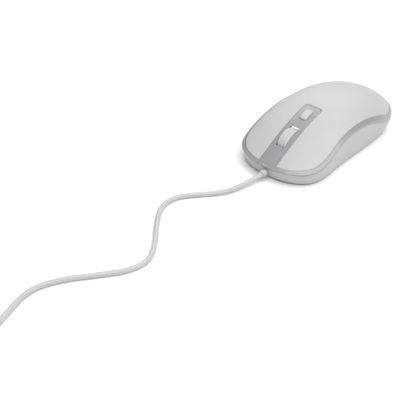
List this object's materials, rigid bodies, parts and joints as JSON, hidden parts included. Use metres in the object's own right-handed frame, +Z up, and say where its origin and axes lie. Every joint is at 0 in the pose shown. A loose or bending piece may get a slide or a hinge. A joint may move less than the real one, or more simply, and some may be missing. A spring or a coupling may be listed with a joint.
{
  "type": "computer mouse",
  "caption": "Low corded optical mouse with two front keys, ribbed scroll wheel, small button behind it, bright belt-line band and a coiled lead with a plug.",
  "frame": {"origin": "middle of the mouse's footprint on the desk, without its lead", "axes": "+Z up, -Y towards the front where the lead leaves, +X towards the user's left hand side"},
  "size_m": [0.0823, 0.3607, 0.0299],
  "materials": {
    "white_shell": "satin moulded plastic with a very fine texture",
    "silver_paint": "satin silver paint on plastic",
    "grey_plastic": "matt",
    "white_button": "satin",
    "wheel_rubber": "matt soft-touch",
    "clear_white_plastic": "glossy translucent white",
    "brass_contact": "bright",
    "dark_component": "matt",
    "white_component": "matt",
    "circuit_board": "solder-mask green, semi-gloss",
    "lens_plastic": "clear moulded acrylic",
    "red_lamp": "clear red epoxy",
    "capacitor_can": "bare can with a sleeve",
    "wire_insulation": "thin insulation",
    "cord_jacket": "satin vinyl jacket",
    "screw_steel": "zinc plated",
    "foot_film": "smooth slippery film",
    "label_paper": "matt, blank",
    "plug_plastic": "satin overmould",
    "plug_metal": "nickel plated"
  },
  "bodies": {
    "housing": {"bottom_case": "white_shell", "silver_frame": "silver_paint", "inner_frame": "grey_plastic", "palm_cover": "white_shell", "encoder_housing": "dark_component", "left_switch": "dark_component", "right_switch": "dark_component", "wheel_switch": "dark_component", "dpi_switch": "dark_component", "circuit_board": "circuit_board", "sensor_chip": "dark_component", "sensor_lens": "lens_plastic", "led_lamp": "red_lamp", "led_clip": "dark_component", "capacitors": "capacitor_can", "chip_resistors": "dark_component", "cable_header": "white_component", "cable_connector": "white_component", "lead_wires": "wire_insulation", "inner_cable": "cord_jacket", "strain_relief": "cord_jacket", "case_screws": "screw_steel", "board_screws": "screw_steel", "front_foot": "foot_film", "rear_foot": "foot_film", "base_label": "label_paper", "cord_tube": "cord_jacket", "cord_coil": "cord_jacket", "cord_tail": "cord_jacket", "usb_plug_body": "plug_plastic", "usb_plug_shell": "plug_metal", "usb_plug_tongue": "white_component", "usb_plug_contacts": "brass_contact"},
    "left_key_body": {"left_key": "white_shell"},
    "right_key_body": {"right_key": "white_shell"},
    "left_plunger_body": {"left_plunger": "white_component"},
    "right_plunger_body": {"right_plunger": "white_component"},
    "dpi_button_body": {"dpi_button": "white_button"},
    "dpi_plunger_body": {"dpi_plunger": "white_component"},
    "wheel_cradle": {"axle_saddle": "grey_plastic"},
    "wheel_body": {"wheel_tyre": "wheel_rubber", "wheel_hub": "clear_white_plastic", "encoder_rotor": "brass_contact"},
    "wheel_plunger_body": {"wheel_plunger": "white_component"}
  },
  "joints": [
    {"name": "left_key_press", "type": "hinge", "parent": "housing", "child": "left_key_body", "pos_m": [0, -0.012, 0.025], "axis": [1, 0, 0], "range_deg": [0, 1.2], "stiffness_Nm_per_rad": 1, "springref_deg": -1.15},
    {"name": "right_key_press", "type": "hinge", "parent": "housing", "child": "right_key_body", "pos_m": [0, -0.012, 0.025], "axis": [1, 0, 0], "range_deg": [0, 1.2], "stiffness_Nm_per_rad": 1, "springref_deg": -1.15},
    {"name": "left_plunger_travel", "type": "slide", "parent": "housing", "child": "left_plunger_body", "axis": [0, 0, -1], "range_m": [0, 0.0005]},
    {"name": "right_plunger_travel", "type": "slide", "parent": "housing", "child": "right_plunger_body", "axis": [0, 0, -1], "range_m": [0, 0.0005]},
    {"name": "dpi_press", "type": "slide", "parent": "housing", "child": "dpi_button_body", "axis": [0, 0.2823, -0.9593], "range_m": [0, 0.0004], "stiffness_N_per_m": 1000, "springref_m": -0.0003},
    {"name": "dpi_plunger_travel", "type": "slide", "parent": "housing", "child": "dpi_plunger_body", "axis": [0, 0, -1], "range_m": [0, 0.0004]},
    {"name": "wheel_press", "type": "hinge", "parent": "housing", "child": "wheel_cradle", "pos_m": [-0.0085, -0.0312, 0.0123], "axis": [0, 1, 0], "range_deg": [0, 1.4], "stiffness_Nm_per_rad": 0.5, "springref_deg": -1.15},
    {"name": "wheel_spin", "type": "hinge", "parent": "wheel_cradle", "child": "wheel_body", "pos_m": [0, -0.0312, 0.0123], "axis": [1, 0, 0], "continuous": true},
    {"name": "wheel_plunger_travel", "type": "slide", "parent": "housing", "child": "wheel_plunger_body", "axis": [0, 0, -1], "range_m": [0, 0.0005]}
  ],
  "couplings": [
    {"joint": "left_plunger_travel", "follows": "left_key_press", "m_per_rad": 0.023},
    {"joint": "right_plunger_travel", "follows": "right_key_press", "m_per_rad": 0.023},
    {"joint": "dpi_plunger_travel", "follows": "dpi_press", "ratio": 0.96},
    {"joint": "wheel_plunger_travel", "follows": "wheel_press", "m_per_rad": 0.0185}
  ]
}
